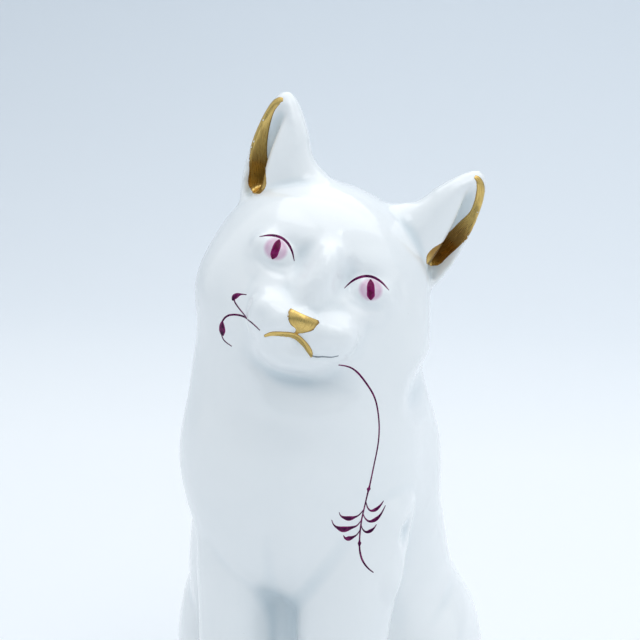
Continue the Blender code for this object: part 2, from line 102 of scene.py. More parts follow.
PAWS = {
    "fore_left": ((9.5, -33, 6.5), (10, 12, 7.5)),
    "fore_right": ((-20.5, -29, 6.5), (9.6, 12, 7.5)),
    "hind_left": ((34, -17, 5.5), (9, 11, 6.5)),
    "hind_right": ((-37, -17, 5.5), (9, 11, 6.5)),
}
FORELEG_WEB = ((-6, -13, 38), (8, 8, 40))
MUZZLE = {
    "pad_left": ((7, -27, -8), (8, 7.5, 7)),
    "pad_right": ((-6.5, -27, -9), (8, 7.5, 7)),
    "chin": ((1, -24.5, -16), (11, 8, 6)),
    "bridge": ((-0.3, -24, 2), (5.5, 8, 13)),
    "eye_left": ((13, -19.5, 6.5), (7.5, 5.4, 5)),
    "eye_right": ((-13, -19.5, 6.8), (7.5, 5.4, 5)),
}
NOSE = {
    "tip": ((-0.5, -32.2, -6.2), (4.6, 2.6, 2.8)),
}
TAIL = [(4, 58, 14, 8), (20, 60, 10, 9), (38, 53, 8.5, 8.4), (48, 36, 8, 8), (49, 14, 7.5, 7.6),
        (46, -4, 7, 7), (43, -18, 6.5, 6.4), (38, -29, 5.8, 5.6)]

# Ears: where they stand on the skull, their turn, and the eggs that make the cupped shell
# and the plane inside it.  The taper narrows an egg towards its tip.
EAR_ROOTS = {1: (22.0, 0.0, 20.0), -1: (18.6, 0.0, 20.0)}
EAR_LEAN = 17.0
EAR_TWIST = 12.0
EAR_TAPER = 0.3
EAR_SHELL = ((0.6, 1, 5), (9.8, 7.5, 22.3))
EAR_CUP = ((2.0, -5, 6.5), (7.4, 8.6, 19.8))
EAR_PLANE = ((-2.6, -0.6, 3), (7.2, 4.6, 19.5))
EAR_WEB = ((-7.5, 1.5, 3.5), (5.5, 5, 6.5))
EAR_JOINT = 8.5

# How the clay is fused: the size of its facets, in millimetres, and how often it is sponged.
# The details are how finely the balls and eggs are divided.
ROUGH_CLAY = (2.0, 150)
LIMBED_CLAY = (1.3, 10)
TAIL_PASSES = 10
BALL_DETAIL = 4
EGG_DETAIL = 5

# The head's axes bound where the face is worked finely and where the ears' cuts reach; the
# neck's cut stays above its height.
FACE_FRONT = -10
FACE_HALF_WIDTH = 26
FACE_HEIGHTS = (-22, 17)
EAR_REACH = (4, 14)
NECK_REACH = 80

# Tool work.  A dab is a centre, the radii where it fades out and the way it pushes the clay.
# A crease is stations of u, v and depth, the tool's width, and the y that it stays in front of.
# The face's dabs and the crease under the eye are the left side's, and are mirrored.
FACE_DABS = {
    "socket": ((12.8, -26, 7), (9.5, 14, 7), (0, 1.1, 0)),
    "beside_bridge": ((5.6, -26, 7.5), (4.6, 14, 7), (0, 1.5, 0)),
    "eyeball": ((12.9, -25, 7), (6.4, 12, 4.2), (0, -1.5, 0)),
    "brow": ((14, -22, 14), (10, 14, 5), (0, -0.7, 0)),
    "under_eye": ((13, -24, 1.0), (8, 12, 4), (0, -0.6, 0)),
    "whisker_pad": ((11.5, -28, -4), (5.5, 12, 7), (0.8, -1.3, 0)),
}
EYE_CREASE = ([(7.0, 3.2, 0.0), (10.0, 2.0, 0.22), (14.0, 1.8, 0.25), (18.0, 3.4, 0.0)], 0.8, -12)
MOUTH_CREASE = ([(-7.9, -13.2, 0.3), (-4.9, -11.3, 0.7), (-1.1, -10.2, 0.8), (1.9, -11.2, 0.8),
                 (4.7, -13.0, 0.7), (7.8, -12.4, 0.45), (11.5, -10.6, 0.1)], 0.9, -20)
JAW_CREASE = ([(-15, -16.0, 0.0), (-10, -20.0, 0.9), (-3, -21.6, 2.3), (5, -20.6, 2.5),
               (11, -17.4, 1.5), (16, -12.5, 0.0)], 3.0, -8)
THROAT_DABS = {
    "throat": ((5, -36, 124), (18, 13, 8), (0, 3.0, 0)),
    "neck_left": ((33, -8, 118), (9, 26, 12), (-3.8, 0, 0)),
}
FORELEG_CREASE = ([(-7.5, 92, 0), (-8, 84, 0.7), (-8.2, 76, 1.4), (-8.3, 68, 2.0),
                   (-8.3, 58, 2.4), (-8.0, 45, 2.6), (-7.5, 20, 2.6)], 5.0, -8)
FORELEG_DABS = {
    "elbow_hollow_left": ((29.5, -18, 80), (5, 10, 8), (-2.4, 2.2, 0)),
    "elbow_left": ((27.5, -23, 68), (8, 10, 9), (1.1, -1.3, 0)),
    "forearm_left": ((27, -9, 48), (8, 9, 15), (-1.5, 1.0, 0)),
    "elbow_hollow_right": ((-34, -12, 74), (7, 12, 12), (1.6, 1.8, 0)),
    "forearm_right": ((-36, -6, 46), (7, 10, 14), (1.3, 1.0, 0)),
}
HAUNCH_CREASE = ([(-4, 12, 0.0), (-6, 22, 1.0), (-4, 33, 1.4), (2, 43, 1.3), (12, 50, 0.9),
                  (24, 53, 0.4), (34, 52, 0.0)], 3.4, -14)
HAUNCH_SHIFT = {1: 0, -1: -1}
TOE_CLEFT = ((0, -11, 4.5), (1.3, 6, 4.5), (0, 1.3, 0))
TOE_SPACING = 3.4
EAR_SPONGE = ((-9, 1, 8), 7.5, 30)
# How deep a hollow must be for the glaze's full painted shade.
HOLLOW_DEPTH = 0.7

# What is painted on.  On the head u runs to the cat's left and v to the crown, from the
# middle of the head; on the chest they are x and z; on an ear they are the ear's own axes.
# A stroke's stations are u, v and half width.
LIDS = {"left": (11.9, 6.7, 18.8, 5.75, 3.3), "right": (-13.3, 7.4, -11.4, 5.4, 3.0)}
PUPILS = {"left": (12.9, 7.0, 24.0), "right": (-13.5, 7.3, 2.0)}
LID_WIDTH = 0.4
PUPIL_HEIGHT = 2.6
PUPIL_HALF_WIDTH = 1.2
IRIS = 3.0
NOSE_GILDING = [(-0.6, -4.4, 4.1), (-0.6, -5.2, 4.4), (-0.5, -6.4, 4.0), (-0.4, -7.6, 2.9),
                (-0.4, -8.5, 1.4), (-0.6, -9.2, 0.55), (-1.0, -10.4, 0.45)]
MOUTH_GILDING = [(-7.9, -13.4, 0.3), (-6.6, -12.2, 0.55), (-4.9, -11.5, 0.7), (-1.1, -10.6, 0.8),
                 (1.9, -11.4, 0.85), (3.8, -12.5, 0.8), (5.2, -13.8, 0.4)]
MOUTH_LINE = [(5.0, -13.6, 0.2), (6.4, -13.3, 0.16), (7.8, -12.6, 0.16), (9.8, -11.9, 0.14),
              (11.3, -10.9, 0.08)]
CHEEK_SPRIG = [
    [(-9.5, -12.4, 0.1), (-12.4, -11.6, 0.2), (-15.6, -12.0, 0.24), (-18.2, -13.4, 0.25),
     (-19.2, -15.6, 0.25), (-18.7, -18.2, 0.2), (-17.1, -20.2, 0.16), (-14.5, -20.7, 0.08)],
    [(-13.6, -11.6, 0.1), (-16.2, -10.6, 0.18), (-18.0, -9.6, 0.2), (-18.6, -8.8, 0.2)],
    [(-19.2, -15.8, 0.25), (-18.9, -16.9, 0.85), (-18.3, -18.2, 1.0), (-17.8, -19.3, 0.35)],
    [(-18.8, -9.4, 0.3), (-18.7, -8.5, 0.8), (-18.1, -7.6, 0.65), (-17.2, -6.9, 0.2),
     (-16.0, -6.4, 0.09)],
]
CHEST_SPRIG = [
    [(11, 130, 0.14), (14.3, 128.5, 0.22), (17, 125, 0.24), (19.5, 120, 0.22), (20.5, 114, 0.2),
     (20.5, 108, 0.2), (19.4, 101, 0.2), (18.6, 96.6, 0.25), (18.4, 95.8, 0.55),
     (18.2, 94.9, 0.25), (17.4, 91.1, 0.2), (16.7, 87.6, 0.22), (16.3, 84.1, 0.24),
     (16.2, 81.8, 0.25), (16.2, 81.0, 0.55), (16.2, 80.2, 0.28), (16.4, 78.4, 0.3),
     (17.0, 76.4, 0.28), (18.2, 74.4, 0.22), (19.8, 72.7, 0.1)],
    [(17.3, 90.4, 0.1), (16.2, 89.0, 0.16), (15.1, 88.4, 0.3), (13.6, 88.2, 0.72),
     (12.2, 88.7, 0.35), (11.5, 89.3, 0.15), (11.2, 90.2, 0.08)],
    [(16.8, 87.6, 0.1), (15.6, 86.0, 0.18), (14.3, 85.5, 0.4), (12.2, 85.2, 0.92),
     (10.5, 86.0, 0.35), (9.7, 86.9, 0.16), (9.3, 88.2, 0.08)],
    [(16.4, 84.9, 0.1), (15.6, 83.5, 0.16), (14.6, 82.8, 0.35), (13.4, 82.4, 0.72),
     (12.5, 82.6, 0.3), (12.1, 83.4, 0.08)],
    [(17.7, 92.5, 0.1), (18.1, 90.6, 0.16), (18.9, 89.6, 0.25), (20.1, 89.7, 0.56),
     (21.2, 90.6, 0.3), (21.9, 91.6, 0.08)],
    [(16.9, 89.4, 0.1), (17.5, 87.8, 0.16), (18.6, 86.8, 0.3), (20.1, 87.1, 0.6),
     (21.4, 88.3, 0.3), (22.4, 90.3, 0.08)],
    [(16.5, 86.4, 0.1), (16.9, 84.9, 0.16), (17.8, 84.0, 0.3), (18.9, 84.2, 0.52),
     (19.8, 84.9, 0.25), (20.4, 85.8, 0.08)],
]
EAR_GILDING = {
    1: [(4.9, -1.2, 1.8), (4.9, 0.2, 3.0), (5.0, 2.2, 3.3), (5.9, 5.5, 2.5), (6.5, 9, 2.0),
        (6.5, 13, 1.9), (6.2, 17, 1.6), (4.8, 20.5, 1.5), (2.7, 23.3, 1.3), (0.6, 24.7, 1.0),
        (-1.0, 24.9, 0.5)],
    -1: [(5.4, -1.0, 1.7), (5.5, 0.5, 2.8), (5.7, 2.2, 3.1), (6.1, 5.5, 2.6), (6.7, 9, 2.1),
         (6.7, 13.5, 2.0), (5.9, 18, 1.8), (4.3, 22.0, 1.4), (2.2, 24.2, 1.0),
         (0.8, 24.6, 0.5)],
}
EAR_WEAR = {1: 1.0, -1: 0.5}
EAR_STREAKS = 9.0

# Brushwork, in millimetres: how thick the paint stands, how far its edge sinks, how deep the
# film goes, and how far in front of the clay the brush sets out.
LOAD = 0.05
EAR_LOAD = 0.11
EDGE_SINK = 0.03
FILM_DEPTH = 0.12
BRUSH_START = -90

# Finishes: sizes and heights in metres.  A fade is where it starts and ends on the value that
# it reads, and what it gives there where that isn't 0 and 1.
CLOUD_SIZE = 0.03
RIPPLE_SIZE = 0.011
RIPPLE_HEIGHT = 0.00006
RIPPLE_GLOSS = (0, 1, 0.07, 0.12)
# The glaze darkens in the hollows as painted shade, and a little at random in clouds.
POOL_SHADE_SHARE = 0.65
CLOUD_SHARE = 0.10
WASH_SHARE = 0.8
SPECK_SCALE = 140.0
SPECK_FADE = (0.022, 0.008, 0.0, 0.35)
FOOT_FADE = (0.0011, 0.0005)
FOOT_ROUGHNESS = 0.7
FOOT_COAT = (0, 1, 0.25, 0.0)
STREAKS_ACROSS = 14.0
MOTTLE_SCALE = 420.0
MOTTLE_FADE = (0.42, 0.66)
MOTTLE_ALONG = (0.75, 0.3, 0.15, 0.75)
BURNT_FROM = (0.02, 0.2)
BURNT_TO = (0.62, 0.42)
BURNT_SHARE = 0.8
RIM_FADE = (0.36, 0.47)
RIM_SHARE = 0.75
STREAK_FADE = (0.4, 0.75, 0.0, 0.35)
STREAK_GLOSS = (0.3, 0.7, 0.22, 0.42)
STREAK_HEIGHT = 0.00003
ENAMEL_EDGE = (0.18, 0.48)
ENAMEL_GRAIN = 0.0022
ENAMEL_THIN = (0.2, 1, 0.0, 0.45)
ENAMEL_GLOSS = (0, 1, 0.16, 0.3)
ENAMEL_HEIGHT = 0.00002
BISCUIT_FINE = 0.0009
BISCUIT_BROAD = 0.012
BISCUIT_ROUGHNESS = (0, 1, 0.78, 0.92)
BISCUIT_HEIGHT = 0.00008

# The stage, in metres: the sweep's y and z, and what the camera aims at, in millimetres.
SWEEP_PROFILE = ((-2.2, -0.0006), (0.95, -0.0006), (1.25, 2.4))
SWEEP_HALF_WIDTH = 3
SWEEP_BEND = 0.35
# Where the sweep darkens from the floor's colour to the wall's, as painted shade.
WALL_SHADE_FADE = (0.3, 1.1)
FRONT_FADE = (0.2, -0.9)
LOW_FADE = (0.75, 0.2)
AIM_ASIDE = 1.4
AIM_FRONT = -6
AIM_HEIGHT = 135.6
LENS = 85

GLAZED = ("glazed_torso", "glazed_head", "glazed_ear_left", "glazed_ear_right", "glazed_tail")


# ---------------------------------------------------------------- settings


class ClaySettings(bpy.types.PropertyGroup):
    """How finely the clay is modelled."""

    skin_voxel: FloatProperty(
        name="Skin detail", description="Size of the skin's facets, in millimetres",
        default=0.8, min=0.4, max=3.0)
    sponge_passes: IntProperty(
        name="Sponging", description="How often the finished clay is sponged smooth",
        default=8, min=0, max=60)


class FinishSettings(bpy.types.PropertyGroup):
    """The colours of the glaze and of what is fired onto it."""

    glaze: FloatVectorProperty(
        name="Glaze", description="The porcelain under its clear glaze",
        default=(0.885, 0.905, 0.915), subtype="COLOR", min=0, max=1)
    # Painted shade: the bluish grey that the glaze darkens to in hollows and creases.
    pooled_shade: FloatVectorProperty(
        name="Pooled glaze and painted shade", description="The glaze's painted shade in a hollow",
        default=(0.62, 0.71, 0.76), subtype="COLOR", min=0, max=1)
    wash: FloatVectorProperty(
        name="Iris wash", description="The thin enamel of the irises",
        default=(0.60, 0.26, 0.46), subtype="COLOR", min=0, max=1)
    gold: FloatVectorProperty(
        name="Gold", description="Gilding where it is thick",
        default=(0.70, 0.50, 0.17), subtype="COLOR", min=0, max=1)
    burnt_gold: FloatVectorProperty(
        name="Burnt gold", description="Gilding where it is thin and brown",
        default=(0.24, 0.12, 0.03), subtype="COLOR", min=0, max=1)
    enamel: FloatVectorProperty(
        name="Enamel", description="Enamel in the middle of a stroke",
        default=(0.035, 0.001, 0.03), subtype="COLOR", min=0, max=1)
    pupil: FloatVectorProperty(
        name="Pupil", description="Enamel of the slit pupils",
        default=(0.115, 0.001, 0.042), subtype="COLOR", min=0, max=1)
    grey: FloatVectorProperty(
        name="Grey enamel", description="The thin line that runs on from the mouth",
        default=(0.16, 0.17, 0.19), subtype="COLOR", min=0, max=1)
    enamel_edge: FloatVectorProperty(
        name="Thin enamel", description="Enamel where a stroke runs out",
        default=(0.33, 0.02, 0.17), subtype="COLOR", min=0, max=1)
    speck: FloatVectorProperty(
        name="Specks", description="Pin specks in the glaze and dust on bare clay",
        default=(0.50, 0.47, 0.42), subtype="COLOR", min=0, max=1)
    biscuit: FloatVectorProperty(
        name="Biscuit", description="The unglazed foot and base plate",
        default=(0.72, 0.68, 0.61), subtype="COLOR", min=0, max=1)


class StudioSettings(bpy.types.PropertyGroup):
    """The camera, lights and backdrop."""

    azimuth: FloatProperty(
        name="Camera azimuth", description="Angle round the cat, in degrees", default=10.0)
    elevation: FloatProperty(
        name="Camera elevation", description="Angle above the horizon, in degrees", default=12.0)
    distance: FloatProperty(
        name="Camera distance", description="From the camera to the cat's throat",
        default=0.413, min=0.1, unit="LENGTH", subtype="DISTANCE")
    room: FloatVectorProperty(
        name="Room", description="Light from the walls of the room",
        default=(0.86, 0.905, 0.945), subtype="COLOR", min=0, max=1)
    room_front: FloatVectorProperty(
        name="Front of the room", description="Light from the side that the camera stands on",
        default=(0.31, 0.37, 0.42), subtype="COLOR", min=0, max=1)
    room_power: FloatProperty(
        name="Room light", description="Strength of the room's light", default=1.0, min=0)
    key_power: FloatProperty(
        name="Overhead light", description="Power of the large light overhead", default=5.6, min=0)
    window_power: FloatProperty(
        name="Window light", description="Power of the window in front", default=0.55, min=0)
    floor: FloatVectorProperty(
        name="Floor", description="The floor near the cat",
        default=(0.86, 0.88, 0.90), subtype="COLOR", min=0, max=1)
    # The wall is painted darker and bluer than the floor, as shade.
    wall: FloatVectorProperty(
        name="Wall", description="The wall behind",
        default=(0.65, 0.705, 0.765), subtype="COLOR", min=0, max=1)


# ---------------------------------------------------------------- frames and objects


def mirrored(place, side):
    """A place or way on the cat's left, or its mirror image on the right when side is -1."""
    x, *rest = place
    return (side * x, *rest)


def set_down():
    """From the clay's millimetres to the frame's metres, by the middle of the base plate."""
    low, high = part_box("base_plate")
    middle = (low + high) / 2
    shift = Vector((middle.x, middle.y, 0)) - BASE_CENTRE * MM
    return Matrix.Translation(shift) @ Matrix.Scale(MM, 4)


def head_frame():
    """The head's own axes: x to the cat's left, -y along its gaze, z up through the crown."""
    yaw = Matrix.Rotation(math.radians(HEAD_YAW), 4, "Z")
    pitch = Matrix.Rotation(math.radians(HEAD_PITCH), 4, "X")
    roll = Matrix.Rotation(math.radians(HEAD_ROLL), 4, "Y")
    return Matrix.Translation(HEAD_CENTRE) @ yaw @ pitch @ roll


def ear_frame(side):
    """An ear's own axes: z from root to tip, -y out of its cup.  side is 1 for the left ear."""
    root = Matrix.Translation(mirrored(EAR_ROOTS[side], side))
    lean = Matrix.Rotation(math.radians(side * EAR_LEAN), 4, "Y")
    twist = Matrix.Rotation(math.radians(side * EAR_TWIST), 4, "Z")
    return head_frame() @ root @ lean @ twist


def add_object(name, data):
    """Puts a mesh, a lamp or a camera into the scene."""
    made = bpy.data.objects.new(name, data)
    bpy.context.scene.collection.objects.link(made)
    return made


def bmesh_of(mesh):
    """A bmesh to work on a mesh with."""
    bm = bmesh.new()
    bm.from_mesh(mesh)
    return bm


def put_back(bm, mesh):
    """Ends the work and leaves it in the mesh."""
    bm.to_mesh(mesh)
    bm.free()


def mesh_of(bm, name):
    """A new mesh from a bmesh."""
    mesh = bpy.data.meshes.new(name)
    put_back(bm, mesh)
    return mesh


def bake(obj):
    """Applies an object's modifiers and returns the mesh; the object goes."""
    bpy.context.view_layer.update()
    graph = bpy.context.evaluated_depsgraph_get()
    baked = bpy.data.meshes.new_from_object(obj.evaluated_get(graph))
    bpy.data.objects.remove(obj)
    return baked


def show_piece(name, mesh, finish, nodes):
    """A finished piece: it rides on the root and stands for its CAD nodes."""
    mesh.materials.clear()
    mesh.materials.append(finish)
    mesh.shade_smooth()
    made = add_object(name, mesh)
    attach(made, "root")
    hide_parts(*nodes)


# ---------------------------------------------------------------- clay: masses and limbs


def placed(centre, radii, axes):
    """Puts a unit ball at a centre with its radii, in a frame's axes."""
    return axes @ Matrix.Translation(Vector(centre)) @ Matrix.Diagonal((*radii, 1))


def add_ellipsoid(bm, centre, radii, axes=Matrix()):
    """One ellipsoid of clay."""
    bmesh.ops.create_icosphere(bm, subdivisions=BALL_DETAIL, radius=1,
                               matrix=placed(centre, radii, axes))


def add_egg(bm, shape, side):
    """An ellipsoid in an ear's axes that narrows towards its top."""
    centre, radii = shape
    ball = bmesh.ops.create_icosphere(bm, subdivisions=EGG_DETAIL, radius=1)["verts"]
    for vert in ball:
        vert.co.x *= 1 - EAR_TAPER * vert.co.z
        vert.co.y *= 1 - EAR_TAPER * vert.co.z
    place = placed(mirrored(centre, side), radii, ear_frame(side))
    bmesh.ops.transform(bm, matrix=place, verts=ball)


def add_masses(bm, masses, axes=Matrix()):
    """A table of ellipsoids."""
    for centre, radii in masses.values():
        add_ellipsoid(bm, centre, radii, axes)


def add_limb(bm, stations):
    """Balls at the stations, joined by tapered cones."""
    for (ax, ay, az, ar), (bx, by, bz, br) in zip(stations, stations[1:]):
        start, end = Vector((ax, ay, az)), Vector((bx, by, bz))
        along = end - start
        turn = along.to_track_quat("Z", "Y").to_matrix().to_4x4()
        place = Matrix.Translation((start + end) / 2) @ turn
        bmesh.ops.create_cone(bm, cap_ends=True, segments=48, radius1=ar, radius2=br,
                              depth=along.length, matrix=place)
    for x, y, z, radius in stations:
        add_ellipsoid(bm, (x, y, z), (radius, radius, radius))


def smooth_stations(stations, steps=4):
    """More stations on a Catmull-Rom curve through the given ones."""
    ends = [stations[0], *stations, stations[-1]]
    made = []
    for a, b, c, d in zip(ends, ends[1:], ends[2:], ends[3:]):
        for step in range(steps):
            t = step / steps
            made.append(tuple(
                0.5 * (2 * q + (r - p) * t + (2 * p - 5 * q + 4 * r - s) * t ** 2
                       + (3 * q - p - 3 * r + s) * t ** 3)
                for p, q, r, s in zip(a, b, c, d)))
    return [*made, stations[-1]]


def fuse(bm, voxel, passes):
    """Fuses the shapes in a bmesh into one skin and sponges it smooth."""
    obj = add_object("clay", mesh_of(bm, "clay"))
    remesh = obj.modifiers.new("fuse", "REMESH")
    remesh.mode = "VOXEL"
    remesh.voxel_size = voxel
    sponge = obj.modifiers.new("sponge", "SMOOTH")
    sponge.factor = 0.5
    sponge.iterations = passes
    return bake(obj)


def carve(mesh, tool_mesh):
    """Takes one shape out of another."""
    obj, tool = add_object("carved", mesh), add_object("tool", tool_mesh)
    saw = obj.modifiers.new("saw", "BOOLEAN")
    saw.object = tool
    made = bake(obj)
    bpy.data.objects.remove(tool)
    return made


def ear_cup_mesh(side):
    """One ear: a tall leaf-shaped shell, open to the front and side."""
    meshes = []
    for shape in (EAR_SHELL, EAR_CUP):
        bm = bmesh.new()
        add_egg(bm, shape, side)
        meshes.append(mesh_of(bm, "ear"))
    return carve(*meshes)


def model_skin(clay):
    """The cat in one skin before the tool work."""
    head = head_frame()
    bm = bmesh.new()
    add_masses(bm, TRUNK)
    add_masses(bm, SKULL, head)
    rough = fuse(bm, *ROUGH_CLAY)

    bm = bmesh_of(rough)
    add_masses(bm, MUZZLE, head)
    add_masses(bm, PAWS)
    add_ellipsoid(bm, *FORELEG_WEB)
    centre, radii = EAR_WEB
    for side in (1, -1):
        add_ellipsoid(bm, mirrored(centre, side), radii, ear_frame(side))
    for stations in (FORELEG_LEFT, FORELEG_RIGHT, HIND_FOOT_LEFT, HIND_FOOT_RIGHT):
        add_limb(bm, stations)
    limbed = fuse(bm, *LIMBED_CLAY)

    bm = bmesh_of(limbed)
    add_masses(bm, NOSE, head)
    for side in (1, -1):
        bm.from_mesh(ear_cup_mesh(side))
        add_egg(bm, EAR_PLANE, side)
    return fuse(bm, clay.skin_voxel, clay.sponge_passes)


# ---------------------------------------------------------------- tool work on the skin


def points_of(mesh):
    """A mesh's points as rows of an array."""
    points = np.empty(len(mesh.vertices) * 3)
    mesh.vertices.foreach_get("co", points)
    return points.reshape(-1, 3)


def set_points(mesh, points):
    """Moves a mesh's points."""
    mesh.vertices.foreach_set("co", points.ravel())
    mesh.update()


def in_axes(points, axes):
    """Points in a frame's own axes."""
    return (points - np.array(axes.translation)) @ np.array(axes.to_3x3())


def dab(points, axes, centre, radii, move):
    """Pushes the clay round a centre, fading out at the radii; all in the frame's axes."""
    away = (in_axes(points, axes) - np.array(centre)) / np.array(radii)
    weight = np.clip(1 - (away ** 2).sum(axis=1), 0, None) ** 2
    points += weight[:, None] * (np.array(axes.to_3x3()) @ np.array(move))


def along_path(flat, stations):
    """How far each flat point is from a path, and the path's own third value there."""
    gap = np.full(len(flat), 1e9)
    value = np.zeros(len(flat))
    for a, b in zip(stations, stations[1:]):
        start, end = np.array(a[:2]), np.array(b[:2])
        run = end - start
        share = np.clip(((flat - start) @ run) / max(run @ run, 1e-9), 0, 1)
        distance = np.linalg.norm(flat - start - share[:, None] * run, axis=1)
        nearer = distance < gap
        gap[nearer] = distance[nearer]
        value[nearer] = (a[2] + share * (b[2] - a[2]))[nearer]
    return gap, value


def incise(points, axes, stations, width, behind):
    """Draws a tool along a path of u, v and depth, on the side that looks along -y."""
    local = in_axes(points, axes)
    near = np.flatnonzero(local[:, 1] < behind)
    gap, depth = along_path(local[near][:, (0, 2)], smooth_stations(stations, 6))
    weight = depth * np.exp(-(gap / width) ** 2)
    points[near] += weight[:, None] * np.array(axes.to_3x3())[:, 1]


def ease(bm, inside, passes):
    """Sponges the clay wherever inside says so."""
    verts = [v for v in bm.verts if inside(v.co)]
    for _ in range(passes):
        bmesh.ops.smooth_vert(bm, verts=verts, factor=0.5, use_axis_x=True, use_axis_y=True,
                              use_axis_z=True)


def refine(mesh, inside, passes=4):
    """Halves the facets wherever inside says so, and sponges them."""
    bm = bmesh_of(mesh)
    edges = [e for e in bm.edges if inside(e.verts[0].co) and inside(e.verts[1].co)]
    bmesh.ops.subdivide_edges(bm, edges=edges, cuts=1, use_grid_fill=True)
    ease(bm, inside, passes)
    put_back(bm, mesh)


def sponge(mesh, axes, centre, radius, passes):
    """Smooths the skin inside a ball, in a frame's axes."""
    bm = bmesh_of(mesh)
    middle = axes @ Vector(centre)
    ease(bm, lambda point: (point - middle).length < radius, passes)
    put_back(bm, mesh)


def on_face(point):
    """True on the front of the face."""
    u, y, v = head_frame().inverted() @ point
    low, high = FACE_HEIGHTS
    return y < FACE_FRONT and abs(u) < FACE_HALF_WIDTH and low < v < high


def near_ear(point, side):
    """True round one ear."""
    u, _, v = head_frame().inverted() @ point
    aside, above = EAR_REACH
    return side * u > aside and v > above


def dab_all(points, axes, dabs, side=1):
    """A table of dabs, on the cat's left or mirrored to its right."""
    for centre, radii, move in dabs.values():
        dab(points, axes, mirrored(centre, side), radii, mirrored(move, side))


def work_face(points):
    """Sockets, eyeballs, brows, bridge, whisker pads, mouth and jaw."""
    head = head_frame()
    stations, width, behind = EYE_CREASE
    for side in (1, -1):
        dab_all(points, head, FACE_DABS, side)
        incise(points, head, [mirrored(station, side) for station in stations], width, behind)
    incise(points, head, *MOUTH_CREASE)
    incise(points, head, *JAW_CREASE)


def work_body(points):
    """The throat, the neck, the valley between the forelegs, the elbows, haunches and toes."""
    clay = Matrix()
    dab_all(points, clay, THROAT_DABS)
    incise(points, clay, *FORELEG_CREASE)
    dab_all(points, clay, FORELEG_DABS)
    stations, width, behind = HAUNCH_CREASE
    for side, shift in HAUNCH_SHIFT.items():
        flank = Matrix.Rotation(math.radians(90 * side), 4, "Z")
        thigh = [mirrored((y + shift, z, depth), side) for y, z, depth in stations]
        incise(points, flank, thigh, width, behind)
    (_, reach, height), radii, move = TOE_CLEFT
    for (x, y, _), _ in PAWS.values():
        for toe in (-TOE_SPACING, 0, TOE_SPACING):
            dab(points, clay, (x + toe, y + reach, height), radii, move)


def stain_eyes(mesh, points):
    """Marks how thickly the iris wash lies on each point."""
    local = in_axes(points, head_frame())
    wash = np.zeros(len(points))
    for side, (u, v, _) in PUPILS.items():
        du, dv = local[:, 0] - u, local[:, 2] - v
        away = np.sqrt(du ** 2 + (dv * 1.1) ** 2) / IRIS
        mark = np.clip((1.12 - away) / 0.3, 0, 1) * (0.55 + 0.45 * np.clip(away, 0, 1) ** 2)
        lid_u, lid_v, slant, half, arch = LIDS[side]
        turn = math.radians(-slant)
        across = (local[:, 0] - lid_u) * math.cos(turn) - (local[:, 2] - lid_v) * math.sin(turn)
        above = (local[:, 0] - lid_u) * math.sin(turn) + (local[:, 2] - lid_v) * math.cos(turn)
        under = arch * (1 - (across / half) ** 2) - above
        mark *= np.clip(under / 0.3, 0, 1) * (local[:, 1] < -12)
        wash = np.maximum(wash, mark)
    layer = mesh.attributes.new("wash", "FLOAT", "POINT")
    layer.data.foreach_set("value", wash.astype(np.float32))


def find_hollows(mesh, points, passes=40):
    """Marks how deep in a hollow each point lies, from 0 on a swelling to 1, for the glaze's
    painted shade.
    """
    edges = np.empty(len(mesh.edges) * 2, np.int32)
    mesh.edges.foreach_get("vertices", edges)
    first, second = edges.reshape(-1, 2).T
    count = np.bincount(edges, minlength=len(points)).clip(1)[:, None]
    eased = points.copy()
    for _ in range(passes):
        total = np.zeros_like(eased)
        for axis in range(3):
            total[:, axis] = (np.bincount(first, eased[second, axis], len(points))
                              + np.bincount(second, eased[first, axis], len(points)))
        eased = total / count
    normals = np.empty(len(points) * 3)
    mesh.vertex_normals.foreach_get("vector", normals)
    depth = ((eased - points) * normals.reshape(-1, 3)).sum(axis=1)
    layer = mesh.attributes.new("hollow", "FLOAT", "POINT")
    layer.data.foreach_set("value", np.clip(depth / HOLLOW_DEPTH, 0, 1).astype(np.float32))


# ---------------------------------------------------------------- castings


def split_skin(mesh, tests):
    """Parts a skin by plane cuts and keeps each point's normal, so that the shading can run on over
    the joints.
    """
    bm = bmesh_of(mesh)
    layer = bm.verts.layers.float_vector.new("run_on")
    bm.normal_update()
    for vert in bm.verts:
        vert[layer] = vert.normal
    for axes, height, near in tests.values():
        faces = [f for f in bm.faces if near(f.calc_center_median())]
        edges = {e for f in faces for e in f.edges}
        verts = {v for f in faces for v in f.verts}
        normal = axes.to_3x3() @ Vector((0, 0, 1))
        point = axes @ Vector((0, 0, height))
        bmesh.ops.bisect_plane(bm, geom=[*faces, *edges, *verts], dist=1e-4, plane_co=point,
                               plane_no=normal)
    owner = {}
    for face in bm.faces:
        middle = face.calc_center_median()
        owner[face.index] = "torso"
        for name, (axes, height, near) in tests.items():
            if near(middle) and (axes.inverted() @ middle).z > height:
                owner[face.index] = name
                break
    return bm, owner


def casting(bm, owner, name):
    """One casting as a closed mesh with its run-on normals."""
    part = bm.copy()
    part.faces.ensure_lookup_table()
    others = [f for f in part.faces if owner[f.index] != name]
    bmesh.ops.delete(part, geom=others, context="FACES")
    open_edges = [e for e in part.edges if e.is_boundary]
    caps = bmesh.ops.holes_fill(part, edges=open_edges, sides=0)["faces"]
    caps = set(bmesh.ops.triangulate(part, faces=caps)["faces"])
    layer = part.verts.layers.float_vector["run_on"]
    part.normal_update()
    normals = []
    for face in part.faces:
        for loop in face.loops:
            normals.append(face.normal.copy() if face in caps else Vector(loop.vert[layer]))
    mesh = mesh_of(part, name)
    mesh.shade_smooth()
    mesh.normals_split_custom_set([n.normalized() for n in normals])
    return mesh


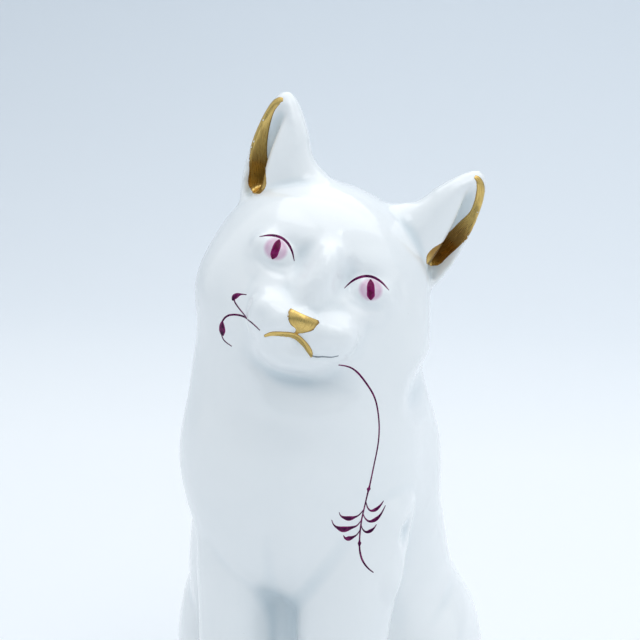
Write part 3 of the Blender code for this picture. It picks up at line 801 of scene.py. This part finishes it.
def flatten_foot(mesh):
    """Cuts the skin off level with the bench and closes it underneath."""
    bm = bmesh_of(mesh)
    bmesh.ops.bisect_plane(bm, geom=[*bm.verts, *bm.edges, *bm.faces], dist=1e-4,
                           plane_co=(0, 0, 0), plane_no=(0, 0, 1), clear_inner=True)
    open_edges = [e for e in bm.edges if e.is_boundary]
    bmesh.ops.holes_fill(bm, edges=open_edges, sides=0)
    put_back(bm, mesh)


# ---------------------------------------------------------------- nodes and finishes


def node(tree, kind, values=(), **settings):
    """A shader node with its settings and socket values."""
    made = tree.nodes.new(kind)
    for key, value in settings.items():
        setattr(made, key, value)
    for key, value in dict(values).items():
        made.inputs[key].default_value = value
    return made


def join(tree, *pairs):
    """Links pairs of sockets."""
    for start, end in pairs:
        tree.links.new(start, end)


def new_finish(name, **values):
    """A material and its shader, with uniform values set on the shader's own sockets."""
    made = bpy.data.materials.new(name)
    made.use_nodes = True
    shader = made.node_tree.nodes["Principled BSDF"]
    for key, value in values.items():
        shader.inputs[key.replace("_", " ")].default_value = value
    return made, made.node_tree, shader


def new_group(name, inputs, outputs):
    """A shader node group with its sockets; returns it with its input and output nodes."""
    tree = bpy.data.node_groups.new(name, "ShaderNodeTree")
    for label, kind, value in inputs:
        socket = tree.interface.new_socket(label, in_out="INPUT", socket_type=kind)
        if value is not None:
            socket.default_value = value
    for label, kind in outputs:
        tree.interface.new_socket(label, in_out="OUTPUT", socket_type=kind)
    return tree, tree.nodes.new("NodeGroupInput"), tree.nodes.new("NodeGroupOutput")


def mix(tree, factor, first, second):
    """Blends two colours by a socket; each is a socket or a colour."""
    made = node(tree, "ShaderNodeMix", data_type="RGBA")
    join(tree, (factor, made.inputs["Factor"]))
    for key, value in (("A", first), ("B", second)):
        if isinstance(value, bpy.types.NodeSocket):
            join(tree, (value, made.inputs[key]))
        else:
            made.inputs[key].default_value = (*value, 1)
    return made.outputs["Result"]


def fade(tree, value, start, end, low=0.0, high=1.0, shape="SMOOTHSTEP"):
    """Turns a value into one from low to high between two limits."""
    made = node(tree, "ShaderNodeMapRange", {"From Min": start, "From Max": end, "To Min": low,
                                             "To Max": high}, interpolation_type=shape)
    join(tree, (value, made.inputs["Value"]))
    return made.outputs["Result"]


def combine(tree, operation, first, second):
    """Puts two values together; each is a socket or a number."""
    made = node(tree, "ShaderNodeMath", operation=operation)
    for socket, value in zip(made.inputs, (first, second)):
        if isinstance(value, bpy.types.NodeSocket):
            join(tree, (value, socket))
        else:
            socket.default_value = value
    return made.outputs["Value"]


def product(tree, first, second):
    """One value times another."""
    return combine(tree, "MULTIPLY", first, second)


def larger(tree, first, second):
    """The larger of two values."""
    return combine(tree, "MAXIMUM", first, second)


def place_on(tree):
    """A point's place on the object."""
    return node(tree, "ShaderNodeTexCoord").outputs["Object"]


def mark_on(tree, name):
    """What an attribute of the clay says at a point."""
    return node(tree, "ShaderNodeAttribute", attribute_name=name).outputs["Fac"]


def axis_of(tree, place, axis):
    """One axis of a place."""
    split = node(tree, "ShaderNodeSeparateXYZ")
    join(tree, (place, split.inputs["Vector"]))
    return split.outputs[axis]


def stroke_axes(tree):
    """How far along and how far across its stroke a point lies, both from 0 to 1."""
    chart = node(tree, "ShaderNodeUVMap", uv_map="stroke").outputs["UV"]
    return axis_of(tree, chart, "X"), axis_of(tree, chart, "Y")


def off_middle(tree, across):
    """How far a point lies from the middle line of its stroke."""
    return combine(tree, "ABSOLUTE", combine(tree, "ADD", across, -0.5), 0.0)


def grain_group():
    """Fired clay's grain: a mask, and a height for a bump."""
    if "fired_grain" in bpy.data.node_groups:
        return bpy.data.node_groups["fired_grain"]
    tree, start, end = new_group(
        "fired_grain",
        [("Vector", "NodeSocketVector", None), ("Size", "NodeSocketFloat", 0.002)],
        [("Mask", "NodeSocketFloat"), ("Height", "NodeSocketFloat")])
    scale = combine(tree, "DIVIDE", 1.0, start.outputs["Size"])
    coarse = node(tree, "ShaderNodeTexNoise", {"Detail": 4.0, "Roughness": 0.6})
    pits = node(tree, "ShaderNodeTexVoronoi", {"Randomness": 1.0})
    for texture in (coarse, pits):
        join(tree, (start.outputs["Vector"], texture.inputs["Vector"]),
             (scale, texture.inputs["Scale"]))
    mask = fade(tree, coarse.outputs["Fac"], 0.3, 0.7)
    shallow = fade(tree, pits.outputs["Distance"], 0, 0.3)
    height = combine(tree, "ADD", coarse.outputs["Fac"], shallow)
    join(tree, (mask, end.inputs["Mask"]), (height, end.inputs["Height"]))
    return tree


def grain(tree, place, size):
    """The grain of a size; returns its mask and its height."""
    made = node(tree, "ShaderNodeGroup", node_tree=grain_group())
    made.inputs["Size"].default_value = size
    join(tree, (place, made.inputs["Vector"]))
    return made.outputs["Mask"], made.outputs["Height"]


def dress(tree, shader, colour, rough, height, depth):
    """Gives a shader its colour, roughness and bump."""
    made = node(tree, "ShaderNodeBump", {"Distance": depth, "Strength": 1.0})
    join(tree, (height, made.inputs["Height"]), (made.outputs["Normal"], shader.inputs["Normal"]),
         (colour, shader.inputs["Base Color"]), (rough, shader.inputs["Roughness"]))


def glaze_finish(finish):
    """Clear glossy glaze over white porcelain, darkened in the hollows as painted shade, bare on
    the foot.
    """
    name = "porcelain_glaze"
    if name in bpy.data.materials:
        return bpy.data.materials[name]
    made, tree, shader = new_finish(name, IOR=1.52, Coat_Roughness=0.02)
    place = place_on(tree)
    cloud, _ = grain(tree, place, CLOUD_SIZE)
    ripple, height = grain(tree, place, RIPPLE_SIZE)
    bare = fade(tree, axis_of(tree, place, "Z"), *FOOT_FADE)
    # Painted shade: the hollows darken the glaze towards a bluish grey; a faint cloud of random
    # tone adds to it.
    pooled_shade = combine(tree, "ADD", product(tree, mark_on(tree, "hollow"), POOL_SHADE_SHARE),
                     product(tree, cloud, CLOUD_SHARE))
    pin = node(tree, "ShaderNodeTexVoronoi", {"Scale": SPECK_SCALE})
    join(tree, (place, pin.inputs["Vector"]))
    speck = fade(tree, pin.outputs["Distance"], *SPECK_FADE)
    colour = mix(tree, pooled_shade, finish.glaze, finish.pooled_shade)
    colour = mix(tree, speck, colour, finish.speck)
    colour = mix(tree, product(tree, mark_on(tree, "wash"), WASH_SHARE), colour, finish.wash)
    colour = mix(tree, bare, colour, finish.biscuit)
    rough = combine(tree, "ADD", fade(tree, ripple, *RIPPLE_GLOSS),
                    product(tree, bare, FOOT_ROUGHNESS))
    join(tree, (fade(tree, bare, *FOOT_COAT), shader.inputs["Coat Weight"]))
    dress(tree, shader, colour, rough, height, RIPPLE_HEIGHT)
    return made


def gilding_group():
    """Brushed gold by a stroke's own length and width: colour, roughness and height."""
    if "brushed_gold" in bpy.data.node_groups:
        return bpy.data.node_groups["brushed_gold"]
    tree, start, end = new_group(
        "brushed_gold",
        [("Thick", "NodeSocketColor", (0.7, 0.5, 0.2, 1)),
         ("Thin", "NodeSocketColor", (0.2, 0.1, 0.03, 1)), ("Wear", "NodeSocketFloat", 0.0),
         ("Length", "NodeSocketFloat", 10.0), ("Object", "NodeSocketVector", None)],
        [("Color", "NodeSocketColor"), ("Roughness", "NodeSocketFloat"),
         ("Height", "NodeSocketFloat")])
    along, across = stroke_axes(tree)
    stretch = node(tree, "ShaderNodeCombineXYZ")
    streak = node(tree, "ShaderNodeTexNoise", {"Scale": 1.0, "Detail": 3.0})
    mottle = node(tree, "ShaderNodeTexNoise", {"Scale": MOTTLE_SCALE, "Detail": 3.0})
    join(tree, (product(tree, along, start.outputs["Length"]), stretch.inputs["X"]),
         (product(tree, across, STREAKS_ACROSS), stretch.inputs["Y"]),
         (stretch.outputs["Vector"], streak.inputs["Vector"]),
         (start.outputs["Object"], mottle.inputs["Vector"]))
    streaks, wear = streak.outputs["Fac"], start.outputs["Wear"]
    burnt = product(tree, fade(tree, along, *BURNT_FROM), fade(tree, along, *BURNT_TO))
    burnt = product(tree, burnt, wear)
    patch = product(tree, fade(tree, mottle.outputs["Fac"], *MOTTLE_FADE),
                    fade(tree, along, *MOTTLE_ALONG))
    patch = product(tree, patch, wear)
    rim = fade(tree, off_middle(tree, across), *RIM_FADE)
    brown = larger(tree, product(tree, burnt, BURNT_SHARE), patch)
    brown = larger(tree, brown, product(tree, rim, RIM_SHARE))
    brown = larger(tree, brown, fade(tree, streaks, *STREAK_FADE))
    colour = mix(tree, brown, start.outputs["Thick"], start.outputs["Thin"])
    rough = fade(tree, streaks, *STREAK_GLOSS)
    join(tree, (colour, end.inputs["Color"]), (rough, end.inputs["Roughness"]),
         (streaks, end.inputs["Height"]))
    return tree


def gold_finish(finish, name="bright_gilding", wear=0.0, length=4.0):
    """Burnished gold, brown where it lies thin."""
    if name in bpy.data.materials:
        return bpy.data.materials[name]
    made, tree, shader = new_finish(name, Metallic=1.0)
    gold = node(tree, "ShaderNodeGroup", node_tree=gilding_group())
    for key, value in (("Thick", (*finish.gold, 1)), ("Thin", (*finish.burnt_gold, 1)),
                       ("Wear", wear), ("Length", length)):
        gold.inputs[key].default_value = value
    join(tree, (place_on(tree), gold.inputs["Object"]))
    dress(tree, shader, gold.outputs["Color"], gold.outputs["Roughness"], gold.outputs["Height"],
          STREAK_HEIGHT)
    return made


def enamel_finish(finish, name="purple_enamel", thick=None, thin=None):
    """Glossy purple enamel, redder where the stroke is thin."""
    if name in bpy.data.materials:
        return bpy.data.materials[name]
    made, tree, shader = new_finish(name, IOR=1.22)
    _, across = stroke_axes(tree)
    edge = fade(tree, off_middle(tree, across), *ENAMEL_EDGE)
    load, height = grain(tree, place_on(tree), ENAMEL_GRAIN)
    faint = larger(tree, edge, fade(tree, load, *ENAMEL_THIN))
    colour = mix(tree, faint, thick or finish.enamel, thin or finish.enamel_edge)
    dress(tree, shader, colour, fade(tree, load, *ENAMEL_GLOSS), height, ENAMEL_HEIGHT)
    return made


def biscuit_finish(finish):
    """Unglazed fired clay, with grain and a little bench dust."""
    name = "biscuit"
    if name in bpy.data.materials:
        return bpy.data.materials[name]
    made, tree, shader = new_finish(name)
    place = place_on(tree)
    fine, height = grain(tree, place, BISCUIT_FINE)
    broad, _ = grain(tree, place, BISCUIT_BROAD)
    dusty = combine(tree, "ADD", product(tree, fine, 0.35), product(tree, broad, 0.4))
    colour = mix(tree, dusty, finish.biscuit, finish.speck)
    dress(tree, shader, colour, fade(tree, fine, *BISCUIT_ROUGHNESS), height, BISCUIT_HEIGHT)
    return made


# ---------------------------------------------------------------- brushwork


def skin_surfaces():
    """The glazed castings, for a brush to land on."""
    bpy.context.view_layer.update()
    graph = bpy.context.evaluated_depsgraph_get()
    return [BVHTree.FromObject(bpy.data.objects[name], graph) for name in GLAZED]


def touch(surfaces, axes, u, v):
    """Where a line along the frame's y axis through (u, v) meets the glaze, and its normal."""
    place = set_down() @ axes
    start = place @ Vector((u, BRUSH_START, v))
    way = (place.to_3x3() @ Vector((0, 1, 0))).normalized()
    hits = [surface.ray_cast(start, way) for surface in surfaces]
    hits = [hit for hit in hits if hit[0] is not None]
    return min(hits, key=lambda hit: hit[3])[:2] if hits else None


def land(surfaces, axes, middle, across):
    """The glaze under the brush's edge, or as far out from its middle as there is any."""
    for tenths in range(10, -1, -1):
        found = touch(surfaces, axes, *(middle + across * (tenths / 10)))
        if found:
            return found
    raise RuntimeError(f"the brush misses the glaze at {middle.x:.2f}, {middle.y:.2f}")


def brush(bm, surfaces, axes, stations, load=LOAD, across=6, steps=5):
    """One closed brushstroke along stations of u, v and half width, thin at its edges."""
    stations = smooth_stations(stations, steps)
    count = len(stations)
    if not bm.loops.layers.uv:
        bm.loops.layers.uv.new("stroke")
    verts = bmesh.ops.create_grid(bm, x_segments=count - 1, y_segments=across, size=1,
                                  calc_uvs=True)["verts"]
    points = [Vector(station[:2]) for station in stations]
    for vert in verts:
        index = round((vert.co.x + 1) / 2 * (count - 1))
        share = vert.co.y
        before, after = points[max(index - 1, 0)], points[min(index + 1, count - 1)]
        along = (after - before).normalized()
        across_stroke = Vector((-along.y, along.x)) * stations[index][2] * share
        point, normal = land(surfaces, axes, points[index], across_stroke)
        lift = load - (load + EDGE_SINK) * abs(share) ** 4
        vert.co = point + normal * lift * MM
    faces = list({f for vert in verts for f in vert.link_faces})
    bmesh.ops.solidify(bm, geom=faces, thickness=FILM_DEPTH * MM)


def painted(name, surfaces, axes, strokes, finish, nodes, load=LOAD, across=6, steps=5):
    """A painted piece from one or more strokes."""
    bm = bmesh.new()
    for stroke in strokes:
        brush(bm, surfaces, axes, stroke, load, across, steps)
    bmesh.ops.recalc_face_normals(bm, faces=bm.faces)
    show_piece(name, mesh_of(bm, name), finish, nodes)


def eye_stroke(u, v, slant, path, width, thinning, steps=6):
    """A stroke at an eye that thins out at both ends; path goes from -1 to 1."""
    turn = Matrix.Rotation(math.radians(slant), 2)
    made = []
    for step in range(steps + 1):
        t = -1 + 2 * step / steps
        du, dv = turn @ Vector(path(t))
        made.append((u + du, v + dv, width * (1 - thinning * abs(t) ** 3)))
    return made


def lid_stroke(u, v, slant, half, arch):
    """A lid line: an arch over an eye."""
    return eye_stroke(u, v, slant, lambda t: (half * t, arch * (1 - t * t)), LID_WIDTH, 0.75)


def pupil_stroke(u, v, tilt):
    """A slit pupil: a spindle standing on its end."""
    return eye_stroke(u, v, tilt, lambda t: (0, PUPIL_HEIGHT * t), PUPIL_HALF_WIDTH, 0.85)


# ---------------------------------------------------------------- operators


class CAT_OT_castings(bpy.types.Operator):
    """Models the torso, head and ears from one skin and glazes them"""

    bl_idname = "porcelain_cat.castings"
    bl_label = "Castings"

    def execute(self, context):
        scene = context.scene
        mesh = model_skin(scene.cat_clay)
        centre, radius, passes = EAR_SPONGE
        for side in (1, -1):
            sponge(mesh, ear_frame(side), mirrored(centre, side), radius, passes)
        refine(mesh, on_face)
        points = points_of(mesh)
        work_body(points)
        work_face(points)
        set_points(mesh, points)
        stain_eyes(mesh, points)
        find_hollows(mesh, points)
        flatten_foot(mesh)
        tests = {
            "ear_left": (ear_frame(1), EAR_JOINT, lambda p: near_ear(p, 1)),
            "ear_right": (ear_frame(-1), EAR_JOINT, lambda p: near_ear(p, -1)),
            "head": (head_frame(), NECK_JOINT, lambda p: p.z > NECK_REACH),
        }
        bm, owner = split_skin(mesh, tests)
        glaze = glaze_finish(scene.cat_finish)
        for name, nodes in (("torso", ("torso_casting", "foreleg_left", "foreleg_right")),
                            ("head", ("head_casting",)), ("ear_left", ("ear_left",)),
                            ("ear_right", ("ear_right",))):
            part = casting(bm, owner, name)
            part.transform(set_down())
            show_piece("glazed_" + name, part, glaze, nodes)
        bm.free()
        return {"FINISHED"}


class CAT_OT_tail(bpy.types.Operator):
    """Models the tail that lies round the haunch"""

    bl_idname = "porcelain_cat.tail"
    bl_label = "Tail"

    def execute(self, context):
        scene = context.scene
        bm = bmesh.new()
        add_limb(bm, smooth_stations(TAIL))
        mesh = fuse(bm, scene.cat_clay.skin_voxel, TAIL_PASSES)
        flatten_foot(mesh)
        mesh.transform(set_down())
        show_piece("glazed_tail", mesh, glaze_finish(scene.cat_finish), ("tail",))
        return {"FINISHED"}


class CAT_OT_base_plate(bpy.types.Operator):
    """Finishes the vented base plate in biscuit"""

    bl_idname = "porcelain_cat.base_plate"
    bl_label = "Base plate"

    def execute(self, context):
        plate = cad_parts["base_plate"]
        biscuit = biscuit_finish(context.scene.cat_finish)
        for slot in plate.material_slots:
            slot.material = biscuit
        return {"FINISHED"}


class CAT_OT_face_paint(bpy.types.Operator):
    """Paints the lids, pupils, nose and mouth"""

    bl_idname = "porcelain_cat.face_paint"
    bl_label = "Face paint"

    def execute(self, context):
        finish = context.scene.cat_finish
        surfaces, head = skin_surfaces(), head_frame()
        gold, enamel = gold_finish(finish), enamel_finish(finish)
        dark = enamel_finish(finish, "pupil_enamel", finish.pupil)
        for side in ("left", "right"):
            painted("lid_" + side, surfaces, head, [lid_stroke(*LIDS[side])], enamel,
                    ("lid_line_" + side,))
            painted("slit_" + side, surfaces, head, [pupil_stroke(*PUPILS[side])], dark,
                    ("pupil_" + side,), across=8)
        painted("nose_gold", surfaces, head, [NOSE_GILDING], gold, ("nose_gilding",),
                across=14)
        painted("mouth_gold", surfaces, head, [MOUTH_GILDING], gold,
                ("mouth_gilding",))
        # The grey line thins out to the bluish grey of the glaze's painted shade.
        grey = enamel_finish(finish, "grey_enamel", finish.grey, finish.pooled_shade)
        painted("mouth_curl", surfaces, head, [MOUTH_LINE], grey,
                ("mouth_gilding",), across=4)
        return {"FINISHED"}


class CAT_OT_sprigs(bpy.types.Operator):
    """Paints the sprigs on the cheek and chest"""

    bl_idname = "porcelain_cat.sprigs"
    bl_label = "Sprigs"

    def execute(self, context):
        surfaces = skin_surfaces()
        enamel = enamel_finish(context.scene.cat_finish)
        painted("cheek_twig", surfaces, head_frame(), CHEEK_SPRIG, enamel,
                ("cheek_sprig",))
        painted("chest_twig", surfaces, Matrix(), CHEST_SPRIG, enamel,
                ("chest_sprig",))
        return {"FINISHED"}


class CAT_OT_ear_gilding(bpy.types.Operator):
    """Gilds the inside of both ears"""

    bl_idname = "porcelain_cat.ear_gilding"
    bl_label = "Ear gilding"

    def execute(self, context):
        surfaces = skin_surfaces()
        for side, name in ((1, "left"), (-1, "right")):
            band = [mirrored(station, side) for station in EAR_GILDING[side]]
            gold = gold_finish(context.scene.cat_finish, "worn_gilding_" + name,
                               EAR_WEAR[side], EAR_STREAKS)
            painted("ear_gold_" + name, surfaces, ear_frame(side), [band], gold,
                    ("ear_gilding_" + name,), load=EAR_LOAD, across=28, steps=9)
        return {"FINISHED"}


class CAT_OT_stage(bpy.types.Operator):
    """Sets up the floor, wall, lights and camera"""

    bl_idname = "porcelain_cat.stage"
    bl_label = "Stage"

    def execute(self, context):
        studio = context.scene.cat_studio
        build_sweep(studio)
        build_lights(studio)
        build_camera(studio)
        return {"FINISHED"}


# ---------------------------------------------------------------- stage


def build_sweep(studio):
    """A floor that curves up into a wall, painted darker and bluer towards the wall as shade."""
    bm = bmesh.new()
    profile = [bm.verts.new((-SWEEP_HALF_WIDTH, y, z)) for y, z in SWEEP_PROFILE]
    for pair in zip(profile, profile[1:]):
        bm.edges.new(pair)
    bmesh.ops.bevel(bm, geom=[profile[1]], offset=SWEEP_BEND, affect="VERTICES", segments=16,
                    profile=0.5, material=-1)
    made = bmesh.ops.extrude_edge_only(bm, edges=bm.edges[:])["geom"]
    moved = [item for item in made if isinstance(item, bmesh.types.BMVert)]
    bmesh.ops.translate(bm, vec=(2 * SWEEP_HALF_WIDTH, 0, 0), verts=moved)
    bmesh.ops.recalc_face_normals(bm, faces=bm.faces)
    mesh = mesh_of(bm, "sweep")
    mesh.shade_smooth()
    finish, tree, shader = new_finish("paper_sweep", Roughness=0.9)
    # Painted shade: the colour runs from the floor's to the darker wall's as the sweep goes back.
    far = fade(tree, axis_of(tree, place_on(tree), "Y"), *WALL_SHADE_FADE, shape="LINEAR")
    join(tree, (mix(tree, far, studio.floor, studio.wall), shader.inputs["Base Color"]))
    mesh.materials.append(finish)
    add_object("sweep", mesh)


def area_light(name, place, aim, size, power, height=None):
    """A square or oblong lamp that faces its aim."""
    lamp = bpy.data.lights.new(name, "AREA")
    lamp.energy = power
    lamp.size = size
    if height:
        lamp.shape = "RECTANGLE"
        lamp.size_y = height
    made = add_object(name, lamp)
    made.location = place
    back = Vector(place) - Vector(aim)
    made.rotation_euler = back.to_track_quat("Z", "Y").to_euler()


def build_lights(studio):
    """A pale room that is dimmer towards the front, a large light overhead and a window."""
    scene = bpy.context.scene
    scene.view_settings.view_transform = "Standard"
    world = bpy.data.worlds.new("studio")
    scene.world = world
    world.use_nodes = True
    tree = world.node_tree
    shade = tree.nodes["Background"]
    way = node(tree, "ShaderNodeTexCoord").outputs["Generated"]
    front = fade(tree, axis_of(tree, way, "Y"), *FRONT_FADE, shape="LINEAR")
    low = fade(tree, axis_of(tree, way, "Z"), *LOW_FADE, shape="LINEAR")
    light = mix(tree, product(tree, front, low), studio.room, studio.room_front)
    join(tree, (light, shade.inputs["Color"]))
    shade.inputs["Strength"].default_value = studio.room_power
    area_light("overhead", (0.15, 0.25, 1.1), (0, 0, 0.1), 1.3, studio.key_power)
    area_light("window", (0.32, -0.42, 0.85), (0, 0, 0.15), 0.34, studio.window_power, height=0.3)


def build_camera(studio):
    """Looks at the throat from the front, a little from the cat's left."""
    turn = math.radians(studio.azimuth)
    rise = math.radians(studio.elevation)
    back = Vector((math.sin(turn) * math.cos(rise), -math.cos(turn) * math.cos(rise),
                   math.sin(rise)))
    aim = set_down() @ Vector((AIM_ASIDE * math.cos(turn),
                               AIM_FRONT + AIM_ASIDE * math.sin(turn), AIM_HEIGHT))
    lens = bpy.data.cameras.new("camera")
    lens.lens = LENS
    lens.clip_start = 0.01
    camera = add_object("camera", lens)
    camera.location = aim + back * studio.distance
    camera.rotation_euler = back.to_track_quat("Z", "Y").to_euler()
    bpy.context.scene.camera = camera


# ---------------------------------------------------------------- panel and registration


class CAT_PT_panel(bpy.types.Panel):
    """Lists the cat's settings and its pieces"""

    bl_idname = "CAT_PT_panel"
    bl_label = "Porcelain cat"
    bl_space_type = "VIEW_3D"
    bl_region_type = "UI"
    bl_category = "Porcelain cat"

    def draw(self, context):
        for group in SETTINGS:
            column = self.layout.column(align=True)
            settings = getattr(context.scene, group)
            for key in settings.__annotations__:
                column.prop(settings, key)
        for operator in OPERATORS:
            self.layout.operator(operator.bl_idname)


SETTINGS = {"cat_clay": ClaySettings, "cat_finish": FinishSettings, "cat_studio": StudioSettings}
OPERATORS = (CAT_OT_castings, CAT_OT_tail, CAT_OT_base_plate, CAT_OT_face_paint, CAT_OT_sprigs,
             CAT_OT_ear_gilding, CAT_OT_stage)
CLASSES = (*SETTINGS.values(), *OPERATORS, CAT_PT_panel)


def register():
    """Adds the classes and the scene's settings."""
    for made in CLASSES:
        bpy.utils.register_class(made)
    for name, kind in SETTINGS.items():
        setattr(bpy.types.Scene, name, PointerProperty(type=kind))


def unregister():
    """Takes them away again."""
    for name in SETTINGS:
        delattr(bpy.types.Scene, name)
    for made in reversed(CLASSES):
        bpy.utils.unregister_class(made)


def main():
    """Makes every piece and the stage."""
    register()
    bpy.ops.porcelain_cat.castings()
    bpy.ops.porcelain_cat.tail()
    bpy.ops.porcelain_cat.base_plate()
    bpy.ops.porcelain_cat.face_paint()
    bpy.ops.porcelain_cat.sprigs()
    bpy.ops.porcelain_cat.ear_gilding()
    bpy.ops.porcelain_cat.stage()


if __name__ == "__main__":
    main()
